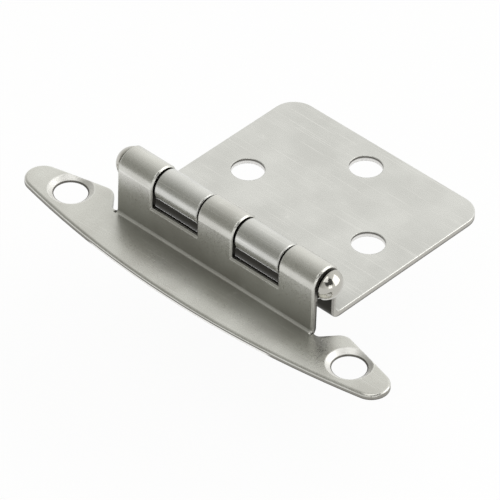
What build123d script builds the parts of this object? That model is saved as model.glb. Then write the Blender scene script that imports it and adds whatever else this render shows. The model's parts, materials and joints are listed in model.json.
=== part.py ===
from build123d import *
from math import acos, atan2, cos, degrees, hypot, radians, sin, sqrt, tan
import os

# Surface mount hinge: a stamped frame wing, a stamped door leaf and the pin that joins them.
# X runs along the pin, +Y points over the door leaf and Z is up. The origin lies in the plane on
# which the frame wing is screwed down, midway between its two screw holes.
# The pieces are drawn with the pin straight above their own origin and moved there at the end.

# Sheets
wing_sheet = 0.9            # thickness of the frame wing
leaf_sheet = 0.95           # thickness of the door leaf
wing_fold = 0.45            # inside radius of the fold between plate and web
leaf_fold = 1.0             # inside radius of the fold between plate and flange

# Barrel and pin
axis_height = 8.6           # of the pin above the mounting plane
pin_radius = 1.5
leaf_clearance = 0.05       # radial, between the pin and the leaf's knuckles
wing_clearance = 0.3        # the same in the wing's knuckles, which are curled looser
seam_gap = 0.15             # between the end of a curl and the sheet that it closes on
barrel_length = 38.5
middle_knuckle = 6.8        # length of the wing's middle knuckle
window_width = 9.0          # of each window that a leaf knuckle stands in
knuckle_gap = 0.3           # beside each leaf knuckle, along the pin
head_overhang = 0.85        # of a pin head, beyond the pin's own radius
head_rim = 0.2              # straight edge of a pin head, under its dome
head_height = 1.6           # of the dome
left_head_gap = 0.1         # between the left head and the barrel
right_head_gap = 0.6        # the pin's play, shown at its right head

# Plate and web of the frame wing
sill_rise = 4.4             # of the window sills above the plate's top face
wing_length = 70.2
wing_depth = 8.2            # from the web's front face to the middle of the bowed edge
bow_rise = 3.4572           # of the bowed edge, from its middle back to the tips; a 155 mm radius
tip_radius = 2.85
ear_reach = 3.65            # from the web's side to the back corner of an ear
ear_setback = 3.4           # of that corner behind the web's front face
ear_round = 2.0
notch_radius = 0.85         # relief notch between web and ear
notch_share = 0.7           # of that radius, from the web's side to the middle of the notch
notch_floor = 0.25          # of the notch's bottom behind the web's front face
rim_round = 0.45            # die-rounded top edge
web_chamfer = 0.25          # the blunted edge of the web's sides, sills and knuckle ends
wing_hole_radius = 2.55
wing_hole_margin = 7.6      # from a tip to the middle of its screw hole
wing_hole_setback = 1.1     # in front of the web's front face
countersink_depth = 0.75
countersink_angle = 100.0

# Plate and flange of the door leaf
leaf_step = 0.3             # of the leaf's underside above the frame wing's
flange_rise = 3.7           # of the flange's plain edge above the plate's top face
leaf_width = 38.1
leaf_corner = 3.7
leaf_edge_round = 0.15
leaf_chamfer = 0.2          # the blunted ends of its knuckles
leaf_hole_radius = 2.55
near_hole_spacing = 23.8
near_hole_offset = 17.4     # from the pin
far_hole_step = 12.7        # from the line of the near holes to the far hole
far_edge_margin = 4.9       # from the far hole to the plate's far edge

# Worked out from the sizes above
leaf_bore = pin_radius + leaf_clearance
wing_bore = pin_radius + wing_clearance
half_barrel = barrel_length / 2
web_front = -(wing_bore + wing_sheet)
window_inner = middle_knuckle / 2
window_outer = window_inner + window_width
head_radius = pin_radius + head_overhang
screws_to_pin = wing_hole_setback - web_front


def along_pin(section, start, end):
    """A section drawn in the YZ plane, run along the pin from start to end."""
    return extrude(Plane.YZ.offset(start) * section, end - start)


def tangent_point(point, centre, radius):
    """Where a line from point touches a circle, on the left as seen from the point."""
    across = centre[0] - point[0]
    up = centre[1] - point[1]
    reach = hypot(across, up)
    run = sqrt(reach ** 2 - radius ** 2)
    heading = atan2(up, across) + acos(run / reach)
    return (point[0] + run * cos(heading), point[1] + run * sin(heading))


def folded_foot(bore, sheet, fold_radius, top):
    """Section of a sheet that comes in flat from +Y, turns up round its fold and stands to top."""
    back = bore + sheet
    fold_y = back + fold_radius
    fold_z = sheet + fold_radius
    slant = cos(radians(45))
    inner_mid = (fold_y - fold_radius * slant, fold_z - fold_radius * slant)
    outer_mid = (fold_y - (fold_radius + sheet) * slant, fold_z - (fold_radius + sheet) * slant)
    return make_face([
        Line((fold_y, 0), (fold_y, sheet)),
        ThreePointArc((fold_y, sheet), inner_mid, (back, fold_z)),
        Line((back, fold_z), (back, top)),
        Line((back, top), (bore, top)),
        Line((bore, top), (bore, fold_z)),
        ThreePointArc((bore, fold_z), outer_mid, (fold_y, 0)),
    ])


def curled_tab(bore, sheet, foot):
    """Section of a tab that stands up from foot at +Y and curls over the pin to close on itself."""
    outer = bore + sheet
    end = 360 - degrees(acos((bore - seam_gap) / outer))

    def ring(radius, angle):
        return (radius * cos(radians(angle)), axis_height + radius * sin(radians(angle)))

    return make_face([
        Line((outer, foot), ring(outer, 0)),
        ThreePointArc(ring(outer, 0), ring(outer, end / 2), ring(outer, end)),
        Line(ring(outer, end), ring(bore, end)),
        ThreePointArc(ring(bore, end), ring(bore, end / 2), ring(bore, 0)),
        Line(ring(bore, 0), (bore, foot)),
        Line((bore, foot), (outer, foot)),
    ])


def front_sides(folded, front):
    """The upright side edges of a folded sheet's outer face, where the curls' own edges begin."""
    return [edge for edge in folded.edges().filter_by(Axis.Z) if abs(edge.center().Y - front) < 0.01]


def wing_outline():
    """Flat outline of the wing's plate, from the fold forward to the bowed edge, with both ears."""
    fold = web_front - wing_fold
    front = web_front - wing_depth
    tip_x = wing_length / 2 - tip_radius
    tip_y = front + bow_rise + tip_radius
    # The bow touches the line of the front at its middle, and the round of a tip at each end.
    bow_radius = tip_radius + (tip_x ** 2 + bow_rise ** 2) / (2 * bow_rise)
    bow_centre = front + bow_radius
    stretch = bow_radius / (bow_radius - tip_radius)
    bow_end = (tip_x * stretch, bow_centre + (tip_y - bow_centre) * stretch)
    corner = (half_barrel + ear_reach, web_front + ear_setback)
    back_end = tangent_point(corner, (tip_x, tip_y), tip_radius)
    # The notch's circle runs from the ear past its lowest point to the web's side.
    notch_centre = (half_barrel + notch_share * notch_radius, web_front + notch_floor + notch_radius)
    notch_side = tangent_point(corner, notch_centre, notch_radius)
    notch_bottom = (notch_centre[0], notch_centre[1] - notch_radius)
    notch_end = (half_barrel, notch_centre[1] - notch_radius * sqrt(1 - notch_share ** 2))
    right_end = [
        ThreePointArc(bow_end, (wing_length / 2, tip_y), back_end),
        Line(back_end, corner),
        Line(corner, notch_side),
        ThreePointArc(notch_side, notch_bottom, notch_end),
        Line(notch_end, (half_barrel, fold)),
    ]
    left_end = [mirror(edge, Plane.YZ) for edge in right_end]
    bow = ThreePointArc((-bow_end[0], bow_end[1]), (0, front), bow_end)
    fold_line = Line((-half_barrel, fold), (half_barrel, fold))
    plate = make_face([bow, fold_line] + right_end + left_end)
    ears = [v for v in plate.vertices() if abs(abs(v.X) - corner[0]) + abs(v.Y - corner[1]) < 0.01]
    return fillet(ears, ear_round)


def frame_wing():
    """The plate with its countersunk holes, the web with its windows, and three curled knuckles."""
    plate = extrude(wing_outline(), wing_sheet)
    rim = plate.faces().sort_by(Axis.Z)[-1].edges()
    fold_line = rim.filter_by(Axis.X)
    plate = fillet([edge for edge in rim if edge not in fold_line], rim_round)

    countersink_radius = wing_hole_radius + countersink_depth * tan(radians(countersink_angle / 2))
    cone = Cone(countersink_radius, wing_hole_radius, countersink_depth)
    drill = Cylinder(wing_hole_radius, 2 * wing_sheet) + Pos(0, 0, -countersink_depth / 2) * cone
    for side in (-1, 1):
        hole_x = side * (wing_length / 2 - wing_hole_margin)
        place = Pos(hole_x, web_front - wing_hole_setback, wing_sheet - countersink_depth)
        # The drill is drawn with its point up, so it is turned over to cut from above.
        plate -= place * Rot(0, 180, 0) * drill

    sill = wing_sheet + sill_rise
    foot = folded_foot(wing_bore, wing_sheet, wing_fold, sill)
    folded = along_pin(foot, -half_barrel, half_barrel)
    tab = curled_tab(wing_bore, wing_sheet, sill)
    for start, end in ((-half_barrel, -window_outer), (-window_inner, window_inner),
                       (window_outer, half_barrel)):
        folded += along_pin(tab, start, end)
    sides = front_sides(folded, -web_front)
    sills = [edge for edge in folded.edges().filter_by(Axis.X)
             if abs(edge.center().Y + web_front) + abs(edge.center().Z - sill) < 0.01]
    folded = chamfer(sides + sills, web_chamfer)
    return plate + mirror(folded, Plane.XZ)


def door_leaf():
    """The plate with its three holes, the flange, and two knuckles that stand in the windows."""
    front = leaf_bore + leaf_sheet
    fold = front + leaf_fold
    far_hole_y = near_hole_offset + far_hole_step
    leaf_end = far_hole_y + far_edge_margin
    outline = Pos(0, (fold + leaf_end) / 2) * Rectangle(leaf_width, leaf_end - fold)
    outline = fillet(outline.vertices().group_by(Axis.Y)[-1], leaf_corner)
    plate = extrude(outline, leaf_sheet)
    rim = plate.faces().sort_by(Axis.Z)[-1].edges()
    rim = [edge for edge in rim if abs(edge.center().Y - fold) > 0.01]
    plate = fillet(rim, leaf_edge_round)
    for x, y in ((-near_hole_spacing / 2, near_hole_offset), (near_hole_spacing / 2, near_hole_offset),
                 (0, far_hole_y)):
        plate -= Pos(x, y, leaf_sheet / 2) * Cylinder(leaf_hole_radius, 2 * leaf_sheet)

    flange_top = leaf_sheet + flange_rise
    foot = folded_foot(leaf_bore, leaf_sheet, leaf_fold, flange_top)
    flange = along_pin(foot, -leaf_width / 2, leaf_width / 2)
    leaf = Pos(0, 0, leaf_step) * (plate + flange)
    tab = curled_tab(leaf_bore, leaf_sheet, leaf_step + flange_top)
    knuckle = along_pin(tab, window_inner + knuckle_gap, window_outer - knuckle_gap)
    knuckle = chamfer(front_sides(knuckle, front), leaf_chamfer)
    return leaf + knuckle + mirror(knuckle, Plane.YZ)


def hinge_pin():
    """One rod with a domed head formed on each end."""
    left = -half_barrel - left_head_gap
    right = half_barrel + right_head_gap
    shank = Pos((left + right) / 2, 0, axis_height) * Rot(0, 90, 0) * Cylinder(pin_radius, right - left)
    top = head_rim + head_height
    dome_radius = (head_radius ** 2 + head_height ** 2) / (2 * head_height)
    head_section = make_face([
        Line((0, 0), (head_radius, 0)),
        Line((head_radius, 0), (head_radius, head_rim)),
        RadiusArc((head_radius, head_rim), (0, top), -dome_radius),
        Line((0, top), (0, 0)),
    ])
    head = revolve(Plane.XZ * head_section, Axis.Z)
    right_head = Pos(right, 0, axis_height) * Rot(0, 90, 0) * head
    left_head = Pos(left, 0, axis_height) * Rot(0, -90, 0) * head
    return shank + right_head + left_head


pieces = {"frame_wing": frame_wing(), "door_leaf": door_leaf(), "hinge_pin": hinge_pin()}

os.makedirs("parts", exist_ok=True)
for name, piece in pieces.items():
    export_step(Pos(0, screws_to_pin, 0) * piece, f"parts/{name}.step")
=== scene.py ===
import json
from math import atan2, cos, hypot, pi, radians, sin

import bpy
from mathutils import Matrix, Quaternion, Vector


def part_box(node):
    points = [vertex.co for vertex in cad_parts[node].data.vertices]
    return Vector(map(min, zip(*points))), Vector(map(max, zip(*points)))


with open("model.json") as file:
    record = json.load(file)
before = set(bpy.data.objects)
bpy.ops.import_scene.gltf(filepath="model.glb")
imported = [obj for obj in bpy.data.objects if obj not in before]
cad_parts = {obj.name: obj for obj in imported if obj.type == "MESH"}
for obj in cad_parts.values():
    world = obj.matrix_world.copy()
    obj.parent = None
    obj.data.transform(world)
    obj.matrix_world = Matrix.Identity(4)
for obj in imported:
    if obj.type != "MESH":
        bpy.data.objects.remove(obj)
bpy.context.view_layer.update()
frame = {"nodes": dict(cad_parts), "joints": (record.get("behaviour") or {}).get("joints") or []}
nodes = frame["nodes"]

# Frame wing
# One blanked, folded and curled sheet of mild steel, screwed to the cabinet frame.
# It was tumbled, then plated with nickel and left satin: a soft grey metal with a fine even grain.

mm = 0.001
pin_y = frame["joints"][0]["pos_m"][1]
screw_x = 27.5 * mm           # from the wing's middle to either of its screw holes
blend = 0.1 * mm              # over which one finish passes into the next


def linear(hex_colour):
    """An sRGB hex value as the linear colour that a shader socket takes."""
    channels = [int(hex_colour[i:i + 2], 16) / 255 for i in (1, 3, 5)]
    return [c / 12.92 if c <= 0.04045 else ((c + 0.055) / 1.055) ** 2.4 for c in channels] + [1.0]


def add(tree, kind, settings=None, **sockets):
    """Add a node with its own options as settings.

    A socket is given by its name, or by i and its number where names repeat. It gets a value, another
    node's output, or another node, which stands for the first of its outputs that is in use.
    """
    node = tree.nodes.new(kind)
    for option, value in (settings or {}).items():
        setattr(node, option, value)
    for socket, value in sockets.items():
        if socket[1:].isdigit():
            entry = node.inputs[int(socket[1:])]
        else:
            label = socket.replace("_", " ")
            entry = next(i for i in node.inputs if i.enabled and i.name == label)
        if isinstance(value, bpy.types.Node):
            value = next(output for output in value.outputs if output.enabled)
        if isinstance(value, bpy.types.NodeSocket):
            tree.links.new(value, entry)
        else:
            entry.default_value = value
    return node


def emptied_tree(owner):
    """The node tree of a material or world, cleared of what it starts with."""
    owner.use_nodes = True
    owner.node_tree.nodes.clear()
    return owner.node_tree


def tumbled_plate(tree, place, light, dark, scratch_turns):
    """The open face of the plate: grey clouds and fine grain, with scratches, scuffs and pits.

    Returns its colour, and its grain and scratches for the relief.
    """
    cloud_size = 7 * mm
    grain_size = 0.25 * mm        # the real tumbled grain is near 0.1 mm, drawn coarser so that it shows
    grain_share = 0.3             # of the grain in the shade, beside the clouds
    scratch_length = 16 * mm
    scratch_width = 0.12 * mm
    scuff_size = 3.5 * mm
    pit_spacing = 4 * mm
    pit_radius = 0.13 * mm

    clouds = add(tree, "ShaderNodeTexNoise", Vector=place, Scale=1 / cloud_size, Detail=3.0)
    grain = add(tree, "ShaderNodeTexNoise", Vector=place, Scale=1 / grain_size, Detail=2.0)
    mottle = add(tree, "ShaderNodeMath", {"operation": "MULTIPLY_ADD"}, i0=grain, i1=grain_share, i2=clouds)
    shade = add(tree, "ShaderNodeMapRange", Value=mottle, From_Min=0.5, From_Max=0.8)
    colour = add(tree, "ShaderNodeMix", {"data_type": "RGBA"}, Factor=shade, A=linear(dark),
                 B=linear(light))

    scratches = None
    for turn in scratch_turns:
        turned = add(tree, "ShaderNodeMapping", Vector=place, Rotation=(0, 0, radians(turn)),
                     Scale=(1 / scratch_length, 1 / scratch_width, 1 / scratch_length))
        streaks = add(tree, "ShaderNodeTexNoise", Vector=turned, Scale=1.0, Detail=1.0)
        lines = add(tree, "ShaderNodeMapRange", Value=streaks, From_Min=0.68, From_Max=0.78)
        scratches = add(tree, "ShaderNodeMath", {"operation": "MAXIMUM"}, i0=lines, i1=scratches or 0.0)

    smears = add(tree, "ShaderNodeTexNoise", Vector=place, Scale=1 / scuff_size, Detail=6.0, Roughness=0.7)
    scuffs = add(tree, "ShaderNodeMapRange", Value=smears, From_Min=0.66, From_Max=0.76, To_Max=0.8)
    rubbed = add(tree, "ShaderNodeMath", {"operation": "MAXIMUM"}, i0=scratches, i1=scuffs)
    cells = add(tree, "ShaderNodeTexVoronoi", Vector=place, Scale=1 / pit_spacing, Randomness=1.0)
    pits = add(tree, "ShaderNodeMapRange", Value=cells, From_Min=pit_radius / pit_spacing,
               From_Max=0.5 * pit_radius / pit_spacing)
    for mask, tint in ((rubbed, "#eeede9"), (pits, "#a09e96")):
        colour = add(tree, "ShaderNodeMix", {"data_type": "RGBA"}, Factor=mask, A=colour, B=linear(tint))
    return colour, grain, scratches


def screw_cones(tree, spot, off_middle, level):
    """The wing's countersinks, coined by a punch: pale and less glossy, with a dark burr at the foot.

    Returns where they are, and their colour.
    """
    cone_radius = 3.5 * mm
    burr_radius = 2.65 * mm
    off_screw = add(tree, "ShaderNodeMath", {"operation": "SUBTRACT"}, i0=off_middle, i1=screw_x)
    from_screw = add(tree, "ShaderNodeCombineXYZ", X=off_screw, Y=spot.outputs["Y"])
    radius = add(tree, "ShaderNodeVectorMath", {"operation": "LENGTH"}, i0=from_screw)
    around = add(tree, "ShaderNodeMapRange", Value=radius, From_Min=cone_radius + blend,
                 From_Max=cone_radius)
    sloped = add(tree, "ShaderNodeMapRange", Value=level, From_Min=0.5, From_Max=0.6)
    coined = add(tree, "ShaderNodeMath", {"operation": "MULTIPLY"}, i0=around, i1=sloped)
    burr = add(tree, "ShaderNodeMapRange", Value=radius, From_Min=burr_radius + blend, From_Max=burr_radius)
    shade = add(tree, "ShaderNodeMix", {"data_type": "RGBA"}, Factor=burr, A=linear("#eae9e5"),
                B=linear("#6a6863"))
    return coined, shade


def painted_recess_shade(tree, spot, off_middle, facing_end):
    """Where the plate is painted dark as shade, and left dull.

    These are the slot between web and flange below the pin, as long as the other sheet covers it, the
    ends of the knuckles that face each other, and all that has little open view.
    """
    slot_half = 2.1 * mm          # from the pin's middle to the web's inner face and its blunted edge
    slot_top = 6.4 * mm
    barrel_half = 19.25 * mm
    knuckle_foot = 4 * mm
    reach = 8 * mm                # walls nearer than this darken the metal with painted shade
    height = spot.outputs["Z"]
    # How open the view from here is, by ambient occlusion: the less open, the more painted shade.
    view = add(tree, "ShaderNodeAmbientOcclusion", {"samples": 8}, Distance=reach).outputs["AO"]
    off_pin = add(tree, "ShaderNodeMath", {"operation": "SUBTRACT"}, i0=spot.outputs["Y"], i1=pin_y)
    across = add(tree, "ShaderNodeMath", {"operation": "ABSOLUTE"}, i0=off_pin)
    slot = add(tree, "ShaderNodeMapRange", Value=across, From_Min=slot_half + blend, From_Max=slot_half)
    below = add(tree, "ShaderNodeMapRange", Value=height, From_Min=slot_top, From_Max=slot_top - 2 * blend)
    between = add(tree, "ShaderNodeMapRange", Value=off_middle, From_Min=barrel_half + 2 * blend,
                  From_Max=barrel_half + blend)
    covered = add(tree, "ShaderNodeMapRange", Value=view, From_Min=0.96, From_Max=0.82)
    for mask in (below, between, covered):
        slot = add(tree, "ShaderNodeMath", {"operation": "MULTIPLY"}, i0=slot, i1=mask)

    # Painted shade on the knuckle ends that face each other and wherever the view is mostly shut in; a
    # lighter painted shade where it is partly shut, as at the web's foot.
    raised = add(tree, "ShaderNodeMapRange", Value=height, From_Min=knuckle_foot,
                 From_Max=knuckle_foot + 5 * blend)
    gap_wall = add(tree, "ShaderNodeMath", {"operation": "MULTIPLY"}, i0=facing_end, i1=raised)
    shut_in = add(tree, "ShaderNodeMapRange", Value=view, From_Min=0.5, From_Max=0.35)
    sheltered = add(tree, "ShaderNodeMapRange", Value=view, From_Min=0.95, From_Max=0.6, To_Max=0.3)
    painted_shade = slot
    for mask in (gap_wall, shut_in, sheltered):
        painted_shade = add(tree, "ShaderNodeMath", {"operation": "MAXIMUM"}, i0=painted_shade, i1=mask)
    return painted_shade


def relief(tree, spot, grain, scratches, slope_drop):
    """The surface's normal: rounded at the edges, tilted by the slope, roughened by grain and scratches."""
    rounding = 0.22 * mm          # of the tumbled edges
    grain_depth = 0.01 * mm
    slope_start = 1.1 * mm        # along Y, from where the plate slopes
    slope_end = -7.1 * mm
    slope_skew = -0.06            # turns the line where the slope starts, further back on the right
    rounded = add(tree, "ShaderNodeBevel", {"samples": 6}, Radius=rounding)
    skewed = add(tree, "ShaderNodeMath", {"operation": "MULTIPLY_ADD"}, i0=spot.outputs["X"],
                 i1=slope_skew, i2=spot.outputs["Y"])
    forward = add(tree, "ShaderNodeMapRange", Value=skewed, From_Min=slope_start, From_Max=slope_end)
    sag = add(tree, "ShaderNodeMath", {"operation": "POWER"}, i0=forward, i1=2.0)
    leaning = add(tree, "ShaderNodeBump", {"invert": True}, Strength=1.0, Distance=slope_drop, Height=sag,
                  Normal=rounded)
    bumps = add(tree, "ShaderNodeMath", {"operation": "MULTIPLY_ADD"}, i0=scratches, i1=-2.0, i2=grain)
    return add(tree, "ShaderNodeBump", Strength=0.2, Distance=grain_depth, Height=bumps, Normal=leaning)


def satin_nickel(name, light, dark, sheared_and_shaded, scratch_turns, wall_foot, wall_top, slope_drop):
    """Satin nickel plate on tumbled steel sheet: a soft grey metal, never quite even.

    The walls of its edges, from wall_foot up to wall_top, are rougher and darker: partly the real shorn
    metal, partly painted shade, which is deepest low down, as under a contact shadow. The tops of the
    leaf's hole walls and the hollows get painted shade as well. Tumbling has rounded the sharp edges, so
    that they catch the light. The open half of the wing's plate slopes down by slope_drop, too little to
    show in its outline.
    """
    leaf_side = 18 * mm           # the leaf's punched holes lie within this of its middle
    leaf_end = 37.5 * mm          # and nearer than this along Y; its far edge lies beyond
    material = bpy.data.materials.new(name)
    tree = emptied_tree(material)
    surface = add(tree, "ShaderNodeTexCoord")
    place = surface.outputs["Object"]
    spot = add(tree, "ShaderNodeSeparateXYZ", Vector=place)
    height = spot.outputs["Z"]
    off_middle = add(tree, "ShaderNodeMath", {"operation": "ABSOLUTE"}, i0=spot.outputs["X"])
    facing = add(tree, "ShaderNodeSeparateXYZ", Vector=surface.outputs["Normal"])
    level = add(tree, "ShaderNodeMath", {"operation": "ABSOLUTE"}, i0=facing.outputs["Z"])
    colour, grain, scratches = tumbled_plate(tree, place, light, dark, scratch_turns)

    # The walls of the plate's blanked edges are upright and low; the ends of web and knuckles face along X.
    # All of them take a darker grey: partly the real sheared metal, partly painted shade. The lower part of
    # a wall, torn in the real part, is painted darker still, as painted shade where a contact shadow would
    # fall.
    wall_height = wall_top - wall_foot
    steep = add(tree, "ShaderNodeMapRange", Value=level, From_Min=0.5, From_Max=0.3)
    low_down = add(tree, "ShaderNodeMapRange", Value=height, From_Min=wall_top + blend, From_Max=wall_top)
    wall = add(tree, "ShaderNodeMath", {"operation": "MULTIPLY"}, i0=steep, i1=low_down)
    sideways = add(tree, "ShaderNodeMath", {"operation": "ABSOLUTE"}, i0=facing.outputs["X"])
    end = add(tree, "ShaderNodeMapRange", Value=sideways, From_Min=0.75, From_Max=0.9)
    cut_and_shaded = add(tree, "ShaderNodeMath", {"operation": "MAXIMUM"}, i0=wall, i1=end)
    tear_and_shade = add(tree, "ShaderNodeMapRange", Value=height, From_Min=wall_foot + 0.45 * wall_height,
               From_Max=wall_foot)
    torn_and_shaded = add(tree, "ShaderNodeMath", {"operation": "MULTIPLY"}, i0=tear_and_shade, i1=wall)

    # The wall of a punched hole in the leaf is near white below and dark along its top; the dark top is
    # painted shade.
    inner = add(tree, "ShaderNodeMapRange", Value=off_middle, From_Min=leaf_side, From_Max=leaf_side - mm)
    near = add(tree, "ShaderNodeMapRange", Value=spot.outputs["Y"], From_Min=leaf_end,
               From_Max=leaf_end - 5 * blend)
    inside = add(tree, "ShaderNodeMath", {"operation": "MULTIPLY"}, i0=inner, i1=near)
    bore = add(tree, "ShaderNodeMath", {"operation": "MULTIPLY"}, i0=inside, i1=wall)
    lip = add(tree, "ShaderNodeMapRange", Value=height, From_Min=wall_foot + 0.55 * wall_height,
              From_Max=wall_foot + 0.8 * wall_height)
    bore_shade = add(tree, "ShaderNodeMix", {"data_type": "RGBA"}, Factor=lip, A=linear("#f6f5f2"),
                     B=linear("#6a6863"))

    coined, coined_shade = screw_cones(tree, spot, off_middle, level)
    facing_end = add(tree, "ShaderNodeMath", {"operation": "MULTIPLY"}, i0=inner, i1=end)
    painted_shade = painted_recess_shade(tree, spot, off_middle, facing_end)
    # The last layer is painted shade, a near black in the slot, the knuckle gaps and hollows. The walls'
    # greys are partly painted shade too.
    finishes_and_shades = ((cut_and_shaded, linear(sheared_and_shaded)), (torn_and_shaded, linear("#5c5a55")), (bore, bore_shade),
                (coined, coined_shade), (painted_shade, linear("#33312b")))
    for mask, tint in finishes_and_shades:
        colour = add(tree, "ShaderNodeMix", {"data_type": "RGBA"}, Factor=mask, A=colour, B=tint)

    satin = add(tree, "ShaderNodeMapRange", Value=grain, From_Min=0.3, From_Max=0.7, To_Min=0.25,
                To_Max=0.34)
    dull = cut_and_shaded
    for mask in (coined, painted_shade):
        dull = add(tree, "ShaderNodeMath", {"operation": "MAXIMUM"}, i0=dull, i1=mask)
    rough = add(tree, "ShaderNodeMix", {"data_type": "FLOAT"}, Factor=dull, A=satin, B=0.5)
    metal = add(tree, "ShaderNodeBsdfPrincipled", Base_Color=colour, Metallic=1.0, Roughness=rough,
                Normal=relief(tree, spot, grain, scratches, slope_drop))
    add(tree, "ShaderNodeOutputMaterial", Surface=metal)
    return material


def dress(node_name, material):
    """Give a carried-over piece its finish."""
    mesh = nodes[node_name].data
    mesh.materials.clear()
    mesh.materials.append(material)


# The wing's wall grey is the sheared steel's own, darkened by painted shade.
dress("frame_wing", satin_nickel("satin_nickel_wing", light="#d9d9d3", dark="#cccbc5", sheared_and_shaded="#94928c",
                                 scratch_turns=(12, -38), wall_foot=0, wall_top=0.45 * mm,
                                 slope_drop=0.5 * mm))

# Door leaf
# One blanked, folded and curled sheet of slightly thicker steel, screwed to the door with three screws.
# Same satin nickel as the wing, with more handling scratches on its open face.

# The leaf's wall grey is lighter, and still partly painted shade.
dress("door_leaf", satin_nickel("satin_nickel_leaf", light="#dadad6", dark="#cfcfcb", sheared_and_shaded="#b6b4ae",
                                scratch_turns=(25, -20, 70), wall_foot=0.3 * mm, wall_top=1.1 * mm,
                                slope_drop=0))

# Hinge pin
# A drawn steel rod that runs through all five knuckles, headed at both ends by a domed tool.
# Its nickel is bright: the tool burnished the heads, so they mirror the room more sharply.


def bright_nickel():
    """Burnished nickel plate: a smooth light metal with a faint haze left by the heading tool."""
    haze_size = 0.3 * mm
    haze_depth = 0.01 * mm
    material = bpy.data.materials.new("bright_nickel_pin")
    tree = emptied_tree(material)
    place = add(tree, "ShaderNodeTexCoord").outputs["Object"]
    haze = add(tree, "ShaderNodeTexNoise", Vector=place, Scale=1 / haze_size, Detail=2.0)
    rough = add(tree, "ShaderNodeMapRange", Value=haze, From_Min=0.3, From_Max=0.7, To_Min=0.08,
                To_Max=0.16)
    bump = add(tree, "ShaderNodeBump", Strength=0.2, Distance=haze_depth, Height=haze)
    metal = add(tree, "ShaderNodeBsdfPrincipled", Base_Color=linear("#b7b5ae"), Metallic=1.0,
                Roughness=rough, Normal=bump)
    add(tree, "ShaderNodeOutputMaterial", Surface=metal)
    return material


dress("hinge_pin", bright_nickel())

# Floor
# A plain white sheet of paper, just below the lowest point that the swinging leaf reaches.
# It reads as white to the camera and in the metal, and keeps a trace of the hinge's shadow.


def lowest_reach(joint, node_name):
    """The lowest height that a piece's corners come to at either limit of its joint."""
    low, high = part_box(node_name)
    pivot = joint["pos_m"]
    reach = low.z
    for turn in joint["range_deg"]:
        for y in (low.y, high.y):
            for z in (low.z, high.z):
                radius = hypot(y - pivot[1], z - pivot[2])
                angle = atan2(z - pivot[2], y - pivot[1]) + radians(turn)
                reach = min(reach, pivot[2] + radius * sin(angle))
    return reach


def white_paper():
    """Matt white paper that glows for the camera and the metal, so that its white stays white."""
    glow_share = 0.9
    material = bpy.data.materials.new("white_paper")
    tree = emptied_tree(material)
    path = add(tree, "ShaderNodeLightPath")
    mirrored = add(tree, "ShaderNodeMath", {"operation": "MAXIMUM"}, i0=path.outputs["Is Glossy Ray"],
                   i1=path.outputs["Is Transmission Ray"])
    seen = add(tree, "ShaderNodeMath", {"operation": "MAXIMUM"}, i0=path.outputs["Is Camera Ray"],
               i1=mirrored)
    share = add(tree, "ShaderNodeMath", {"operation": "MULTIPLY"}, i0=seen, i1=glow_share)
    matt = add(tree, "ShaderNodeBsdfDiffuse", Color=linear("#ffffff"))
    glow = add(tree, "ShaderNodeEmission", Color=linear("#ffffff"), Strength=1.0)
    both = add(tree, "ShaderNodeMixShader", i0=share, i1=matt, i2=glow)
    add(tree, "ShaderNodeOutputMaterial", Surface=both)
    return material


floor_half = 3.0
floor_gap = 1 * mm
floor_height = lowest_reach(frame["joints"][0], "door_leaf") - floor_gap
corners = [(x * floor_half, y * floor_half, floor_height) for x, y in ((-1, -1), (1, -1), (1, 1), (-1, 1))]
floor_mesh = bpy.data.meshes.new("floor")
floor_mesh.from_pydata(corners, [], [(0, 1, 2, 3)])
floor_mesh.materials.append(white_paper())
floor = bpy.data.objects.new("floor", floor_mesh)
bpy.context.scene.collection.objects.link(floor)

# Studio light
# A pale room, darker in front on the left and with a dark doorway in front on the right, as the
# photo's reflections show. Three soft lamps on the right light the rounded edges and the dome.


def towards(turn, rise):
    """The direction at this turn in degrees from -Y towards +X, and this rise above the horizon."""
    level = cos(radians(rise))
    return Vector((sin(radians(turn)) * level, -cos(radians(turn)) * level, sin(radians(rise))))


def look_from(name, data, target, back, distance, roll=0.0):
    """Stand a lamp or camera this far back from a target and turn it to look there."""
    stand = bpy.data.objects.new(name, data)
    stand.location = target + back * distance
    stand.rotation_mode = "QUATERNION"
    stand.rotation_quaternion = (-back).to_track_quat("-Z", "Y") @ Quaternion((0, 0, 1), roll)
    bpy.context.scene.collection.objects.link(stand)
    return stand


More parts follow.
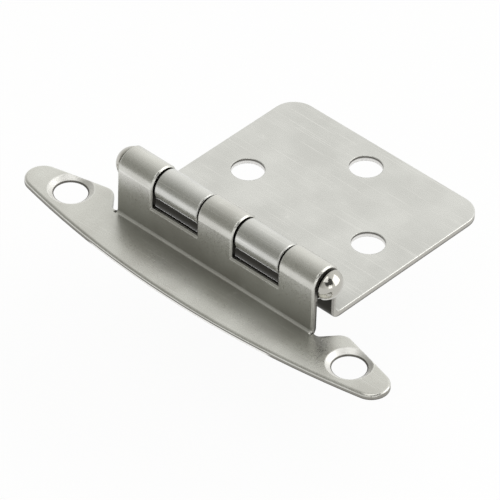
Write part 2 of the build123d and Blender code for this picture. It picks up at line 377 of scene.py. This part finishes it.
def pale_room():
    """The world's light: a room whose pale walls fall off towards its dark side and doorway."""
    pale_wall = (1.08, 1.08, 1.06, 1.0)
    dark_wall = (0.31, 0.31, 0.285, 1.0)
    doorway = (0.10, 0.10, 0.095, 1.0)
    dark_side = towards(turn=-34, rise=30)
    door_side = towards(turn=68, rise=36)
    door_edge = cos(radians(30))
    door_core = cos(radians(26))
    world = bpy.data.worlds.new("pale_room")
    tree = emptied_tree(world)
    way = add(tree, "ShaderNodeTexCoord").outputs["Generated"]
    to_dark = add(tree, "ShaderNodeVectorMath", {"operation": "DOT_PRODUCT"}, i0=way, i1=dark_side)
    fall = add(tree, "ShaderNodeMapRange", Value=to_dark, From_Min=-0.2, From_Max=1.0)
    curve = add(tree, "ShaderNodeMath", {"operation": "POWER"}, i0=fall, i1=1.6)
    walls = add(tree, "ShaderNodeMix", {"data_type": "RGBA"}, Factor=curve, A=pale_wall, B=dark_wall)
    to_door = add(tree, "ShaderNodeVectorMath", {"operation": "DOT_PRODUCT"}, i0=way, i1=door_side)
    door = add(tree, "ShaderNodeMapRange", Value=to_door, From_Min=door_edge, From_Max=door_core)
    room = add(tree, "ShaderNodeMix", {"data_type": "RGBA"}, Factor=door, A=walls, B=doorway)
    sky = add(tree, "ShaderNodeBackground", Color=room, Strength=1.0)
    add(tree, "ShaderNodeOutputWorld", Surface=sky)
    return world


def softbox(name, turn, rise, size, radiance):
    """A square soft lamp that looks at the hinge, as bright to look at as radiance says."""
    distance = 0.9
    lamp = bpy.data.lights.new(name, "AREA")
    lamp.shape = "SQUARE"
    lamp.size = size
    lamp.energy = radiance * pi * size ** 2
    look_from(name, lamp, Vector((0, 0, 0)), towards(turn, rise), distance)


bpy.context.scene.world = pale_room()
softbox("right_softbox", turn=128, rise=20, size=0.8, radiance=1.5)
softbox("low_softbox", turn=72, rise=8, size=0.35, radiance=1.5)
softbox("high_softbox", turn=35, rise=60, size=0.6, radiance=1.4)

# Camera
# Placed where the photo was taken from, found from the leaf's edges and holes.

photo_pixels = 500
focal_pixels = 5500
look_at = Vector((2.8, 5.8, 3.7)) * mm
camera_distance = 789.3 * mm
camera_roll = radians(1.9)
camera = bpy.data.cameras.new("camera")
camera.lens = camera.sensor_width * focal_pixels / photo_pixels
bpy.context.scene.camera = look_from("camera", camera, look_at, towards(turn=41.81, rise=40.07),
                                     camera_distance, camera_roll)
bpy.context.scene.view_settings.view_transform = "Standard"
